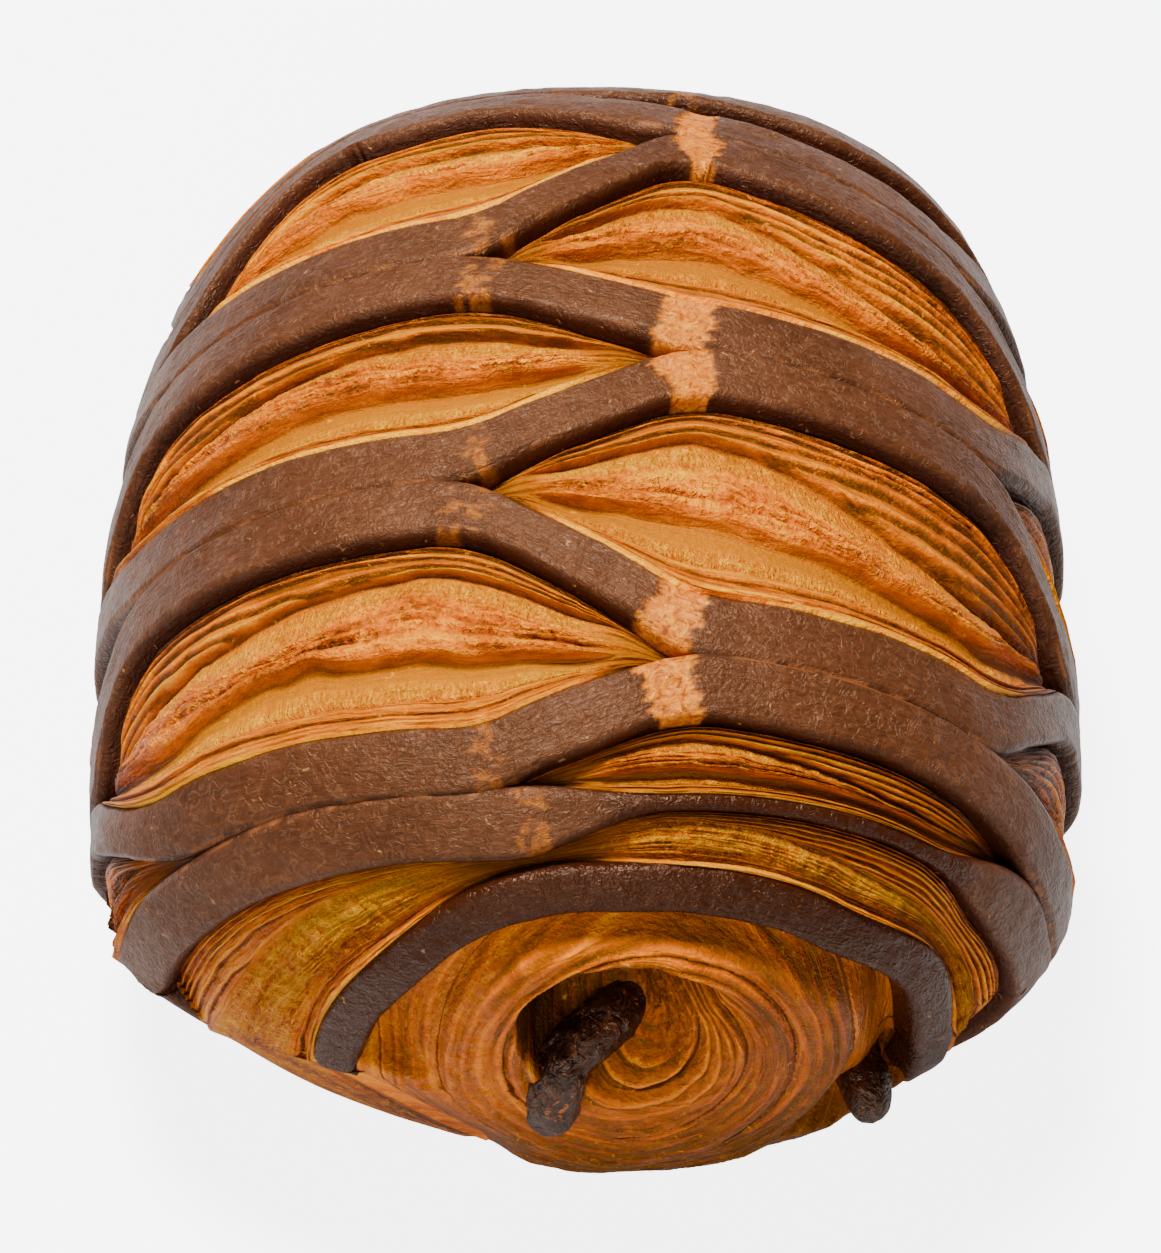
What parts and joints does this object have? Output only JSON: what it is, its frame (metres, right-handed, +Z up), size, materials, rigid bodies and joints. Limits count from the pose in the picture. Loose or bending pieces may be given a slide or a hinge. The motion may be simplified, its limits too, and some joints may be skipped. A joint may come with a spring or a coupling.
{
  "type": "pain au chocolat",
  "caption": "Baked two-tone laminated dough roll with a spiral at each end, a split cocoa dough lattice over it and chocolate sticks running through it.",
  "frame": {"origin": "centre of the bounding box at the table, under the roll", "axes": "+Z up, the roll lies along Y with the spiral end that shows in the picture towards -Y, +X to the right of that end"},
  "size_m": [0.0799, 0.1013, 0.0507],
  "materials": {
    "baked_dough": "baked golden, satin egg wash",
    "cocoa_dough": "satin baked cocoa dough",
    "baked_chocolate": "bumpy, half-glossy baked chocolate"
  },
  "bodies": {
    "root": {"dough_roll": "baked_dough", "cocoa_lattice": "cocoa_dough", "cocoa_front_arc": "cocoa_dough", "cocoa_back_arc": "cocoa_dough", "core_stick": "baked_chocolate", "side_stick": "baked_chocolate"}
  },
  "joints": []
}
